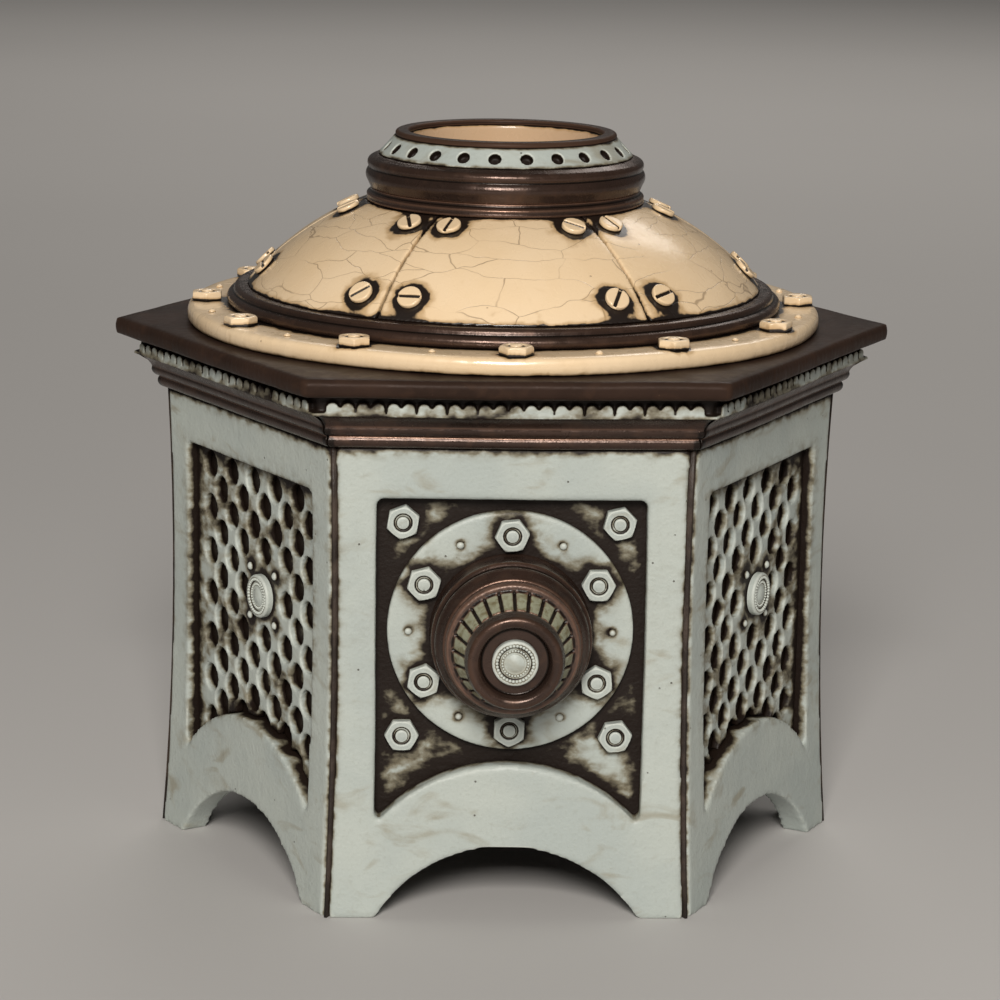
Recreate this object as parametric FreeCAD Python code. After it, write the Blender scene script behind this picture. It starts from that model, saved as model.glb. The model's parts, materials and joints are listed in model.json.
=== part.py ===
import FreeCAD, Part
import math
import os

# A six-sided stoneware vessel styled as riveted ironwork, in millimetres, with +Z up.
# The origin is on the floor under the centre axis, and the front wall faces -Y.
# Six wall frames on arched feet stand round a plain inner shell. The front and back ones
# frame a bolted flange plate with a knob that turns, and four frame a pierced screen. A cornice,
# a row of dentils and a deck plate close the top of the body. A round lid rests in the
# deck's opening and lifts off: a flange, a six-part roof and an open collar.

V = FreeCAD.Vector

# Walls
wall_top_radius = 150.0       # centre to an outer corner, at the top of the walls
wall_height = 202.0
wall_thickness = 10.0         # at the top of the walls
foot_flare = 3.1              # how far a wall's foot stands out past its top
waist_pull = 1.5              # how far a wall's waist stands in from its top
waist_height = 105.0
wall_edge_rounding = 1.6
seam_width = 1.2              # joint between two walls at a corner
seam_setback = 0.9            # how far that joint lies behind the corner

# Windows and leg arches
stile_width = 19.0            # wall beside a window
top_rail = 22.0               # wall above a window
foot_width = 19.5             # half of a leg, measured from the corner
leg_arch_rise = 31.0
arch_band = 35.3              # wall between the leg arch and the window above it
window_arch_rise = 26.8

# Inner shell and floor
shell_thickness = 6.0
shell_lift = 3.0              # shell bottom above the top of the leg arches
floor_thickness = 8.0

# Cornice, dentils and deck
cornice_height = 15.0
cornice_projection = 11.3     # cornice top beyond the wall top
corner_joint = 0.4            # open joint between two lengths of moulding
dentil_height = 8.5
dentil_projection = 12.5      # teeth beyond the wall top
dentil_backing = 3.4          # teeth in front of their backing
dentil_lip = 1.3
tooth_pitch = 6.2
tooth_gap = 1.3
tooth_height = 4.3
deck_overhang = 22.8          # deck corner beyond the wall corner
deck_thickness = 8.0
deck_rounding = 2.4
opening_inset = 14.2          # deck opening inside the roof's foot

# Lid flange and roof
lid_margin = 9.65             # deck edge beyond the lid flange
lid_flange_thickness = 8.0
lid_flange_rounding = 2.6
lid_flange_rim = 52.0         # width of the lid flange ring
locating_clearance = 1.0
locating_wall = 6.0
locating_height = 7.0
nut_track_margin = 4.7        # lid flange outside its base ring, beyond a nut's width
base_ring_step = 8.5          # base ring outside the roof's foot
base_ring_height = 8.2
base_ring_width = 22.0
roof_rise = 37.5
roof_crown = 4.2              # bulge of the roof line above a straight cone
roof_thickness = 6.0
roof_seam = 0.9
roof_lap = 9.6                # how far the roof reaches in under the neck ring
liner_thickness = 3.0

# Collar round the mouth
mouth_radius = 42.5
mouth_liner_wall = 3.5
neck_height = 5.8
bead_height = 14.3
bead_width = 5.0              # beads beyond the foot of the band above them
band_height = 8.4
band_spread = 7.8             # foot of the band beyond its top
band_land = 6.3               # top of the band beyond the mouth
rim_height = 2.3
band_hole_count = 24
band_hole_diameter = 5.5
band_hole_depth = 3.4

# Nuts, studs, rivets and screws
nut_across_flats = 12.6
nut_height = 4.6
nut_recess_radius = 4.0
nut_recess_depth = 0.9
stud_radius = 2.6
stud_tip = 0.7                # stud end beyond its nut
stud_depth = 4.0              # stud in the piece under the nut's seat
rivet_radius = 1.7
rivet_head = 1.3
rivet_depth = 2.5
lid_nut_count = 12
lid_nut_height = 4.0
lid_nut_margin = 2.2          # lid flange's edge beyond its nuts
screw_head_radius = 5.25
screw_head_height = 2.2
screw_slot_width = 1.6
screw_slot_depth = 1.2
screw_shank_radius = 2.2
screw_depth = 8.0
screw_inset = 8.0             # screw centres in from the roof's foot and top
screw_seam_offset_top = 9.5
screw_seam_offset_foot = 11.6

# Pierced screens
screen_thickness = 4.0
screen_hole_diameter = 12.1
screen_row_gap = 3.7          # row pitch beyond half a hole's width
screen_shift = 5.5            # rosette and holes to the right of the window's middle
screen_edge = 0.5             # least web between a hole and the window's sides
rosette_radius = 9.4
rosette_height = 3.6
screen_stud_radius = 1.9
screen_stud_height = 1.8

# Flange plates and knobs
flange_margin = 4.7           # window beyond the flange plate
flange_thickness = 4.8
flange_rounding = 1.2
flange_nut_margin = 3.3       # flange plate's edge beyond its nuts
flange_track_margin = 5.3     # flange plate outside the collar, beyond a nut's width
flange_nut_count = 6
corner_nut_inset = 11.0       # nut centres inside the window's sides and top
collar_height = 24.3
spindle_radius = 6.0
spindle_clearance = 0.05      # running fit in the collar
spindle_wall_clearance = 0.8  # free hole in the flange plate and the shell
running_gap = 0.3             # end play at the knob and at its retainer
skirt_height = 4.1
flute_length = 12.0
flute_count = 24
flute_groove_width = 1.5
flute_groove_depth = 1.2
grip_depth = 9.8
grip_dish_depth = 4.2
button_height = 3.9
spindle_seat = 1.6            # spindle end inside the grip
washer_radius = 11.0
washer_thickness = 2.2
retaining_nut_across_flats = 18.0
retaining_nut_height = 6.0

# Radii of a knob whose collar has the first of them. They grow and shrink with the collar.
knob_collar_radius = 33.4
knob_lip_radius = 28.4
knob_skirt_radius = 27.9
knob_flute_foot_radius = 24.8
knob_flute_top_radius = 20.0
knob_grip_radius = 20.4
knob_dish_radius = 14.6
knob_button_radius = 9.4

# Worked-out sizes
HALF_SIDE = math.radians(30)
wall_apothem = wall_top_radius * math.cos(HALF_SIDE)
recess_apothem = wall_apothem - wall_thickness
shell_inner_apothem = recess_apothem - shell_thickness
wall_half_length = wall_apothem * math.tan(HALF_SIDE)
window_half_width = wall_half_length - stile_width
window_top = wall_height - top_rail
window_apex = leg_arch_rise + arch_band
window_foot = window_apex - window_arch_rise
panel_centre_height = (window_top + window_apex) / 2
shell_bottom = leg_arch_rise + shell_lift
cornice_top = wall_height + cornice_height
deck_bottom = cornice_top + dentil_height
deck_top = deck_bottom + deck_thickness
deck_apothem = (wall_top_radius + deck_overhang) * math.cos(HALF_SIDE)
lid_flange_radius = deck_apothem - lid_margin
lid_flange_top = deck_top + lid_flange_thickness
base_ring_radius = lid_flange_radius - nut_across_flats - nut_track_margin
lid_nut_circle = lid_flange_radius - nut_across_flats / 2 - lid_nut_margin
roof_foot_radius = base_ring_radius - base_ring_step
roof_foot_height = lid_flange_top + base_ring_height
roof_top_height = roof_foot_height + roof_rise
band_top_radius = mouth_radius + band_land
band_foot_radius = band_top_radius + band_spread
bead_radius = band_foot_radius + bead_width
neck_radius = bead_radius - 0.2
roof_top_radius = bead_radius
roof_inner_radius = roof_top_radius - roof_lap
deck_opening_radius = roof_foot_radius - opening_inset
mouth_outer_radius = mouth_radius + mouth_liner_wall
bead_bottom = roof_top_height + neck_height
band_bottom = bead_bottom + bead_height
band_top = band_bottom + band_height
rim_top = band_top + rim_height
flange_radius = min(window_half_width, (window_top - window_apex) / 2) - flange_margin
flange_nut_circle = flange_radius - nut_across_flats / 2 - flange_nut_margin
flange_face = recess_apothem + flange_thickness
collar_radius = flange_radius - nut_across_flats - flange_track_margin
knob_scale = collar_radius / knob_collar_radius
collar_lip_radius = knob_lip_radius * knob_scale
skirt_radius = knob_skirt_radius * knob_scale
flute_foot_radius = knob_flute_foot_radius * knob_scale
flute_top_radius = knob_flute_top_radius * knob_scale
grip_radius = knob_grip_radius * knob_scale
grip_dish_radius = knob_dish_radius * knob_scale
button_radius = knob_button_radius * knob_scale
collar_face = flange_face + collar_height
skirt_back = collar_face + running_gap
skirt_face = skirt_back + skirt_height
grip_back = skirt_face + flute_length
grip_face = grip_back + grip_depth
button_seat = grip_face - grip_dish_depth
spindle_end = grip_back + spindle_seat
screen_row_pitch = screen_hole_diameter / 2 + screen_row_gap

SIDES = {
    "front": 0,
    "front_right": 60,
    "back_right": 120,
    "back": 180,
    "back_left": 240,
    "front_left": 300,
}
KNOB_SIDES = ("front", "back")
SCREEN_SIDES = ("front_right", "back_right", "back_left", "front_left")


# ---------------------------------------------------------------- building blocks

def outline(*steps):
    """Closed wire in the XZ plane. A step (x, z) is a straight run to that point, and a
    step [(x, z), (x, z)] is an arc through the first point to the second."""
    start = steps[0]
    here = start
    edges = []
    for step in steps[1:] + (start,):
        is_arc = isinstance(step, list)
        end = step[1] if is_arc else step
        a = V(here[0], 0, here[1])
        b = V(end[0], 0, end[1])
        if is_arc:
            via = V(step[0][0], 0, step[0][1])
            edges.append(Part.Arc(a, via, b).toShape())
        elif a.distanceToPoint(b) > 1e-6:
            edges.append(Part.LineSegment(a, b).toShape())
        here = end
    return Part.Wire(edges)


def turned(*steps):
    """Solid of revolution about Z of an outline."""
    return Part.Face(outline(*steps)).revolve(V(0, 0, 0), V(0, 0, 1), 360)


def dome(radius, foot, height):
    """Outline step for a round cap, from its edge at a radius up to its top on the axis."""
    ball = (radius ** 2 + height ** 2) / (2 * height)
    centre = foot + height - ball
    half_way = centre + math.sqrt(ball ** 2 - (radius / 2) ** 2)
    return [(radius / 2, half_way), (0, foot + height)]


def ring(inner, outer, low, high):
    return turned((inner, low), (outer, low), (outer, high), (inner, high))


def disc(radius, low, high):
    return Part.makeCylinder(radius, high - low, V(0, 0, low))


def hexagon(apothem, low, high, start_angle=-60):
    """Hexagonal prism. With the default start angle, one flat faces -Y."""
    radius = apothem / math.cos(HALF_SIDE)
    angles = [math.radians(start_angle + 60 * k) for k in range(6)]
    corners = [V(radius * math.cos(a), radius * math.sin(a), low) for a in angles]
    return Part.Face(Part.makePolygon(corners + corners[:1])).extrude(V(0, 0, high - low))


def sector(gap, reach, low, high):
    """Prism over the 60-degree sector about -Y, each side half a gap inside the mitre."""
    half_width = (reach - gap) * math.tan(HALF_SIDE)
    corners = [V(0, -gap, low), V(half_width, -reach, low), V(-half_width, -reach, low)]
    return Part.Face(Part.makePolygon(corners + corners[:1])).extrude(V(0, 0, high - low))


def through_wall(wire, near, far):
    """Extrude an outline across the front wall, from one distance from the axis to another."""
    face = Part.Face(wire)
    face.translate(V(0, -near, 0))
    return face.extrude(V(0, near - far, 0))


def mitred_length(wire, gap):
    """Run an outline of (distance from the axis, height) along the front wall, mitred."""
    face = Part.Face(wire)
    face.rotate(V(0, 0, 0), V(0, 0, 1), -90)
    box = face.BoundBox
    reach = 2 * -box.YMin
    face.translate(V(-reach, 0, 0))
    return face.extrude(V(2 * reach, 0, 0)).common(sector(gap, reach, box.ZMin, box.ZMax))


def about_axis(shape, degrees):
    copy = shape.copy()
    copy.rotate(V(0, 0, 0), V(0, 0, 1), degrees)
    return copy


def six_sides(shape):
    return [about_axis(shape, degrees) for degrees in SIDES.values()]


def on_panel(shape, side, across=0.0, up=0.0):
    """Copy placed on a wall's panel. Its X runs across, its Y up and its Z outward from
    the vessel's axis, with X and Y measured from the panel's centre."""
    copy = shape.copy()
    copy.translate(V(across, up, 0))
    copy.rotate(V(0, 0, 0), V(1, 0, 0), 90)
    copy.translate(V(0, 0, panel_centre_height))
    return about_axis(copy, SIDES[side])


def circle_places(count, radius, first_degrees=0.0):
    """Points evenly round a circle, as (x, y)."""
    angles = [math.radians(first_degrees + 360 * k / count) for k in range(count)]
    return [(radius * math.cos(a), radius * math.sin(a)) for a in angles]


def moved(shape, x=0.0, y=0.0, z=0.0):
    copy = shape.copy()
    copy.translate(V(x, y, z))
    return copy


def solids_of(shape):
    """The solids of a shape, cleaned of split faces."""
    return [solid.removeSplitter() for solid in shape.Solids]


def bored(shape, cutters):
    """Shape with holes for every one of the cutters."""
    return shape.cut(Part.makeCompound(cutters))


def without_crumbs(shape):
    """The largest solid of a shape, without the bits that its holes cut loose at the edge."""
    return max(shape.Solids, key=lambda solid: solid.Volume)


# ---------------------------------------------------------------- fasteners

def hex_nut(height, seat=0.0, turn=0.0):
    """Nut with a bevelled top and a sunk ring round its bore, seated at Z = seat."""
    half = nut_across_flats / 2
    corner = half / math.cos(HALF_SIDE)
    bevel = corner - half
    blank = turned(
        (stud_radius, 0), (corner + 0.1, 0), (corner + 0.1, height - bevel), (half, height),
        (nut_recess_radius, height), (nut_recess_radius, height - nut_recess_depth),
        (stud_radius, height - nut_recess_depth),
    )
    nut = hexagon(half, 0, height, start_angle=turn).common(blank)
    return moved(nut, z=seat)


def stud(low, high):
    """Plain stud with a slightly domed end."""
    crown = 0.4
    shoulder = high - crown
    return turned((0, low), (stud_radius, low), (stud_radius, shoulder), dome(stud_radius, shoulder, crown))


def rivet(seat):
    """Button-headed rivet whose head sits at Z = seat."""
    shank = rivet_radius * 0.6
    return turned(
        (0, seat - rivet_depth), (shank, seat - rivet_depth), (shank, seat),
        (rivet_radius, seat), dome(rivet_radius, seat, rivet_head),
    )


def rosette(radius, height):
    """Round button with a rim, a sunk ring and a dome, seated at Z = 0."""
    rim = radius * 0.76
    eye = radius * 0.4
    sunk = height * 0.72
    return turned(
        (0, 0), (radius, 0), (radius, height * 0.66), [(radius * 0.95, height * 0.88), (radius * 0.86, height * 0.92)],
        (rim, height * 0.84), (radius * 0.7, sunk), (eye, sunk), dome(eye, sunk, height - sunk),
    )


# ---------------------------------------------------------------- body

def window_outline():
    side = window_half_width
    return outline(
        (-side, window_foot), (-side, window_top), (side, window_top), (side, window_foot),
        [(0, window_apex), (-side, window_foot)],
    )


def leg_arch_outline():
    side = wall_half_length - foot_width
    below = -1.0
    return outline((-side, below), (-side, 0), [(0, leg_arch_rise), (side, 0)], (side, below))


def wall_line(setback=0.0, scale=1.0):
    """Outline of a wall's section: flat inside, gently hollow outside."""
    foot = (wall_apothem + foot_flare) * scale - setback
    waist = (wall_apothem - waist_pull) * scale - setback
    top = wall_apothem * scale - setback
    inside = recess_apothem * scale
    return outline(
        (inside, 0), (foot, 0), [(waist, waist_height), (top, wall_height)], (inside, wall_height),
    )


def wall_frame():
    blank = mitred_length(wall_line(), seam_width)
    middle = wall_height / 2
    long_edges = [
        edge for edge in blank.Edges
        if edge.BoundBox.ZLength > wall_height / 2
        and -edge.CenterOfMass.y > recess_apothem + wall_thickness / 2
        and abs(edge.CenterOfMass.z - middle) < middle / 2
    ]
    blank = blank.makeFillet(wall_edge_rounding, long_edges)
    beyond = wall_apothem + 2 * foot_flare + wall_thickness
    window = through_wall(window_outline(), recess_apothem - 1, beyond)
    arch = through_wall(leg_arch_outline(), recess_apothem - 1, beyond)
    return blank.cut(window).cut(arch)


def corner_seam():
    """Filler strip in the mitre at the corner to the right of the front wall."""
    strip = Part.Face(wall_line(seam_setback, 1 / math.cos(HALF_SIDE)))
    strip.translate(V(0, -seam_width / 2, 0))
    return about_axis(strip.extrude(V(0, seam_width, 0)), -60)


def inner_shell():
    tube = hexagon(recess_apothem, shell_bottom, deck_bottom)
    return tube.cut(hexagon(shell_inner_apothem, shell_bottom - 1, deck_bottom + 1))


def floor_plate():
    return hexagon(shell_inner_apothem, shell_bottom, shell_bottom + floor_thickness)


def cornice_length():
    """Ogee moulding with two fine grooves."""
    low = wall_height
    start = wall_apothem + 1.2
    end = wall_apothem + cornice_projection
    reach = end - start
    bead = low + cornice_height * 0.3
    shelf = low + cornice_height * 0.58
    return mitred_length(outline(
        (recess_apothem, low), (start, low),
        [(start + reach * 0.2, low + cornice_height * 0.12), (start + reach * 0.18, bead)],
        (start + reach * 0.12, bead + 0.5),
        [(start + reach * 0.36, bead + 1.6), (start + reach * 0.46, shelf)],
        (start + reach * 0.41, shelf + 0.5),
        [(start + reach * 0.62, low + cornice_height * 0.82), (end, cornice_top)],
        (recess_apothem, cornice_top),
    ), corner_joint)


def tooth_outline():
    """Round-topped tooth, centred on X = 0."""
    half = (tooth_pitch - tooth_gap) / 2
    low = cornice_top + dentil_lip / 2
    top = cornice_top + dentil_lip + tooth_height
    shoulder = top - half * 0.8
    return outline((-half, low), (-half, shoulder), [(0, top), (half, shoulder)], (half, low))


def dentil_length():
    """Strip with a lip along its foot and a row of teeth above the lip."""
    front = wall_apothem + dentil_projection
    back = front - dentil_backing
    strip = mitred_length(outline(
        (recess_apothem, cornice_top), (front, cornice_top), (front, cornice_top + dentil_lip),
        (back, cornice_top + dentil_lip), (back, deck_bottom), (recess_apothem, deck_bottom),
    ), corner_joint)
    room = back * math.tan(HALF_SIDE) - corner_joint - tooth_pitch / 2
    each_way = int(room / tooth_pitch)
    tooth = through_wall(tooth_outline(), back - 1, front - 0.2)
    teeth = [moved(tooth, x=k * tooth_pitch) for k in range(-each_way, each_way + 1)]
    return strip.multiFuse(teeth)


def deck_plate():
    plate = hexagon(deck_apothem, deck_bottom, deck_top)
    rim = [edge for edge in plate.Edges if edge.BoundBox.ZLength < 0.01]
    plate = plate.makeFillet(deck_rounding, rim)
    return plate.cut(disc(deck_opening_radius, deck_bottom - 1, deck_top + 1))


# ---------------------------------------------------------------- screens

def screen_hole_places():
    """Staggered rows of whole holes from side to side of the window, apart from the middle
    one and its four neighbours, where the rosette and its studs are."""
    places = []
    reach = window_half_width - screen_hole_diameter / 2 - screen_edge
    columns = math.ceil((reach + abs(screen_shift)) / screen_row_pitch)
    rows_up = math.ceil((window_top - panel_centre_height) / screen_row_pitch)
    rows_down = math.ceil((panel_centre_height - window_foot) / screen_row_pitch)
    for row in range(-rows_down, rows_up):
        for column in range(-columns, columns + 1):
            staggered = (row + column) % 2 == 0
            in_middle = abs(row) <= 1 and abs(column) <= 1
            across = column * screen_row_pitch + screen_shift
            if staggered and not in_middle and abs(across) <= reach:
                places.append((across, row * screen_row_pitch))
    return places


def pierced_screen():
    """Plate that fills the window of the front wall, with its through holes."""
    face = recess_apothem + screen_thickness
    plate = through_wall(window_outline(), recess_apothem, face)
    cutter = disc(screen_hole_diameter / 2, recess_apothem - 1, face + 1)
    holes = [on_panel(cutter, "front", x, y) for x, y in screen_hole_places()]
    return without_crumbs(bored(plate, holes))


def screen_studs():
    """Four low studs round a rosette, in panel axes."""
    face = recess_apothem + screen_thickness
    height = screen_stud_height
    one = turned((0, face), (screen_stud_radius, face), dome(screen_stud_radius, face, height))
    diagonal = screen_row_pitch * 1.12
    return [moved(one, screen_shift + x * diagonal, y * diagonal) for x in (-1, 1) for y in (-1, 1)]


# ---------------------------------------------------------------- flange plates and knobs

def flange_nut_places():
    """Nuts round a flange plate, as (x, y) on the panel."""
    return circle_places(flange_nut_count, flange_nut_circle, 30)


def corner_nut_places():
    """Nuts in the four corners of the recess, as (x, y) on the panel."""
    x = window_half_width - corner_nut_inset
    y = window_top - corner_nut_inset - panel_centre_height
    return [(-x, -y), (x, -y), (x, y), (-x, y)]


def flange_plate():
    plate = disc(flange_radius, recess_apothem, flange_face)
    edge = [e for e in plate.Edges if abs(e.CenterOfMass.z - flange_face) < 0.01]
    plate = plate.makeFillet(flange_rounding, edge)
    return plate.cut(disc(spindle_radius + spindle_wall_clearance, 0, flange_face + 1))


def panel_fasteners():
    """Nuts, bolts and rivets of one knob panel, in panel axes."""
    nuts = []
    bolts = []
    rings = [(flange_nut_places(), flange_face), (corner_nut_places(), recess_apothem)]
    for places, seat in rings:
        for number, (x, y) in enumerate(places):
            nuts.append(moved(hex_nut(nut_height, seat, turn=7.0 * number), x, y))
            bolts.append(moved(stud(recess_apothem - stud_depth, seat + nut_height + stud_tip), x, y))
    between = circle_places(flange_nut_count, flange_nut_circle + 0.8)
    rivets = [moved(rivet(flange_face), x, y) for x, y in between]
    return nuts, bolts, rivets


def knob_collar():
    """Fixed bearing collar with a cove foot and a bead at its lip."""
    bore = spindle_radius + spindle_clearance
    low = flange_face
    waist = collar_radius - 1.6
    groove = low + collar_height * 0.62
    bead = collar_radius - 1.4
    return turned(
        (bore, low), (collar_radius + 0.6, low), [(collar_radius, low + 1.2), (collar_radius - 0.5, low + 4)],
        (collar_radius, groove - 2), [(collar_radius - 0.3, groove - 0.6), (waist, groove)],
        (bead - 0.8, groove + 0.8), [(bead, groove + 3.2), (bead - 1.6, groove + 6)],
        (collar_lip_radius, collar_face), (bore, collar_face),
    )


def knob_skirt():
    """Ring and fluted cone at the back of a knob."""
    ring_middle = skirt_back + skirt_height / 2
    blank = turned(
        (spindle_radius, skirt_back), (skirt_radius - 0.8, skirt_back),
        [(skirt_radius, ring_middle), (skirt_radius - 1.2, skirt_face)],
        (flute_foot_radius, skirt_face), (flute_top_radius, grip_back), (spindle_radius, grip_back),
    )
    slope = math.atan2(flute_foot_radius - flute_top_radius, flute_length)
    depth = 2 * flute_groove_depth
    groove = Part.makeBox(
        depth, flute_groove_width, flute_length + 2,
        V(-flute_groove_depth, -flute_groove_width / 2, 0),
    )
    groove.rotate(V(0, 0, 0), V(0, 1, 0), -math.degrees(slope))
    groove.translate(V(flute_foot_radius, 0, skirt_face))
    return bored(blank, [about_axis(groove, 360 * k / flute_count) for k in range(flute_count)])


def knob_grip():
    """Rounded grip with a dished face."""
    shoulder = grip_back + grip_depth * 0.45
    crest = (grip_radius + grip_dish_radius) / 2
    return turned(
        (spindle_radius, grip_back), (flute_top_radius - 0.6, grip_back),
        [(grip_radius, shoulder), (grip_radius - 0.9, grip_face - 2.2)],
        [(crest + 1.2, grip_face - 0.35), (crest - 0.6, grip_face)],
        [(grip_dish_radius + 0.7, grip_face - 0.5), (grip_dish_radius, grip_face - 1.4)],
        (grip_dish_radius - 0.8, button_seat), (0, button_seat), (0, spindle_end), (spindle_radius, spindle_end),
    )


def knob_spindle():
    washer_back = shell_inner_apothem - running_gap - washer_thickness
    inner_end = washer_back - retaining_nut_height - 1.5
    return disc(spindle_radius, inner_end, spindle_end)


def knob_retainer():
    """Washer and nut on the spindle, inside the shell."""
    washer_face = shell_inner_apothem - running_gap
    washer_back = washer_face - washer_thickness
    washer = ring(spindle_radius, washer_radius, washer_back, washer_face)
    nut = hexagon(retaining_nut_across_flats / 2, washer_back - retaining_nut_height, washer_back)
    return [washer, nut.cut(disc(spindle_radius, 0, washer_face))]


# ---------------------------------------------------------------- lid

def roof_arc():
    """Centre (radius, height) and radius of the roof's outer line."""
    run = roof_foot_radius - roof_top_radius
    half_chord = math.hypot(run, roof_rise) / 2
    line_radius = (half_chord ** 2 + roof_crown ** 2) / (2 * roof_crown)
    to_centre = (line_radius - roof_crown) / (2 * half_chord)
    middle_radius = (roof_foot_radius + roof_top_radius) / 2
    middle_height = roof_foot_height + roof_rise / 2
    centre = (middle_radius - roof_rise * to_centre, middle_height - run * to_centre)
    return centre, line_radius


def roof_point(depth, radius=None, height=None):
    """Point of the roof's line at a depth below its surface, at one radius or height."""
    (centre_radius, centre_height), line_radius = roof_arc()
    r = line_radius - depth
    if radius is None:
        radius = centre_radius + math.sqrt(r ** 2 - (height - centre_height) ** 2)
    else:
        height = centre_height + math.sqrt(r ** 2 - (radius - centre_radius) ** 2)
    return radius, height


def roof_layer(top_depth, bottom_depth, flat_top):
    """Turned layer of the roof between two depths below its surface."""
    outer_foot = roof_point(top_depth, height=roof_foot_height)
    inner_foot = roof_point(bottom_depth, height=roof_foot_height)
    inner_top = roof_point(bottom_depth, radius=roof_inner_radius)
    if flat_top:
        outer_top = roof_point(top_depth, height=roof_top_height)
        closing = [(roof_inner_radius, roof_top_height)]
    else:
        outer_top = roof_point(top_depth, radius=roof_inner_radius)
        closing = []
    outer_middle = roof_point(top_depth, radius=(outer_foot[0] + outer_top[0]) / 2)
    inner_middle = roof_point(bottom_depth, radius=(inner_foot[0] + inner_top[0]) / 2)
    return turned(
        inner_foot, outer_foot, [outer_middle, outer_top], *closing, inner_top, [inner_middle, inner_foot],
    )


def roof_segment():
    reach = 2 * roof_foot_radius
    wedge = sector(roof_seam, reach, roof_foot_height, roof_top_height)
    return roof_layer(0, roof_thickness, True).common(wedge)


def slotted_screw(slot_turn):
    """Screw seated at Z = 0 with its head up."""
    head = disc(screw_head_radius, 0, screw_head_height)
    edge = [e for e in head.Edges if abs(e.CenterOfMass.z - screw_head_height) < 0.01]
    head = head.makeFillet(0.6, edge)
    slot = Part.makeBox(
        3 * screw_head_radius, screw_slot_width, 2 * screw_slot_depth,
        V(-1.5 * screw_head_radius, -screw_slot_width / 2, screw_head_height - screw_slot_depth),
    )
    head = head.cut(about_axis(slot, slot_turn))
    return head.fuse(disc(screw_shank_radius, -screw_depth, 0))


def roof_screws():
    """Four screws for each segment, a pair at each end of every seam."""
    (centre_radius, centre_height), _ = roof_arc()
    rows = (
        (roof_top_radius + screw_inset, screw_seam_offset_top),
        (roof_foot_radius - screw_inset, screw_seam_offset_foot),
    )
    screws = []
    for seam in range(6):
        for radius, offset in rows:
            for side in (-1, 1):
                _, height = roof_point(0, radius=radius)
                tilt = math.degrees(math.atan2(radius - centre_radius, height - centre_height))
                screw = slotted_screw(slot_turn=137.5 * len(screws))
                screw.rotate(V(0, 0, 0), V(0, 1, 0), tilt)
                screw.translate(V(radius, 0, height))
                swing = side * math.degrees(math.asin(offset / radius))
                screws.append(about_axis(screw, 60 * seam + swing))
    return screws


def lid_flange():
    inner = lid_flange_radius - lid_flange_rim
    plate = ring(inner, lid_flange_radius, deck_top, lid_flange_top)
    rim = [
        e for e in plate.Edges
        if e.BoundBox.ZLength < 0.01 and e.BoundBox.XMax > lid_flange_radius - 1
    ]
    return plate.makeFillet(lid_flange_rounding, rim)


def lid_base_ring():
    """Moulded ring: a large bead, a groove and a small bead under the roof's foot."""
    low = lid_flange_top
    outer = base_ring_radius
    groove = low + base_ring_height * 0.62
    return turned(
        (outer - base_ring_width, low), (outer - 1.6, low),
        [(outer, low + base_ring_height * 0.32), (outer - 2.0, groove)],
        (outer - 3.2, groove), [(outer - 3.4, groove + 2.2), (outer - 6.0, roof_foot_height)],
        (outer - base_ring_width, roof_foot_height),
    )


def locating_ring():
    outer = deck_opening_radius - locating_clearance
    return ring(outer - locating_wall, outer, deck_top - locating_height, deck_top)


def neck_ring():
    """Ring with two fine beads and a cove above them."""
    low = roof_top_height
    step = neck_height * 0.33
    return turned(
        (mouth_outer_radius, low), (neck_radius - 0.5, low),
        [(neck_radius, low + step / 2), (neck_radius - 0.5, low + step)],
        [(neck_radius - 0.1, low + 1.5 * step), (neck_radius - 1.0, low + 2 * step)],
        [(neck_radius - 2.0, low + 2.5 * step), (neck_radius - 1.8, bead_bottom)],
        (mouth_outer_radius, bead_bottom),
    )


def collar_bead():
    """Two stacked half-round lobes with a groove between them."""
    low = bead_bottom
    groove = low + bead_height * 0.62
    return turned(
        (mouth_outer_radius, low), (bead_radius - 2.0, low),
        [(bead_radius - 1.2, low + 2.0), (bead_radius - 0.6, low + 3.2)],
        [(bead_radius, low + bead_height * 0.46), (bead_radius - 1.4, groove)],
        [(bead_radius - 0.6, groove + 2.2), (bead_radius - 2.6, groove + 4.4)],
        (band_foot_radius, band_bottom), (mouth_outer_radius, band_bottom),
    )


def collar_band():
    """Sloping band with a ring of blind holes."""
    blank = turned(
        (mouth_outer_radius, band_bottom), (band_foot_radius, band_bottom),
        (band_top_radius, band_top), (mouth_outer_radius, band_top),
    )
    slope = math.degrees(math.atan2(band_height, band_foot_radius - band_top_radius))
    cutter = disc(band_hole_diameter / 2, -band_hole_depth, band_hole_depth)
    cutter.rotate(V(0, 0, 0), V(0, 1, 0), slope)
    middle = (band_foot_radius + band_top_radius) / 2
    cutter.translate(V(middle, 0, (band_bottom + band_top) / 2))
    turn = 360 / band_hole_count
    return bored(blank, [about_axis(cutter, (k + 0.5) * turn) for k in range(band_hole_count)])


def rim_ring():
    return turned(
        (mouth_radius, band_top), (band_top_radius - 0.2, band_top),
        [(band_top_radius - 0.2, rim_top - 0.8), (band_top_radius - 1.6, rim_top)],
        (mouth_radius + 1.2, rim_top), [(mouth_radius + 0.3, rim_top - 0.4), (mouth_radius, rim_top - 1.2)],
    )


def mouth_liner():
    bottom = roof_top_height - roof_thickness
    return ring(mouth_radius, mouth_outer_radius, bottom, band_top)


# ---------------------------------------------------------------- assembly

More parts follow.
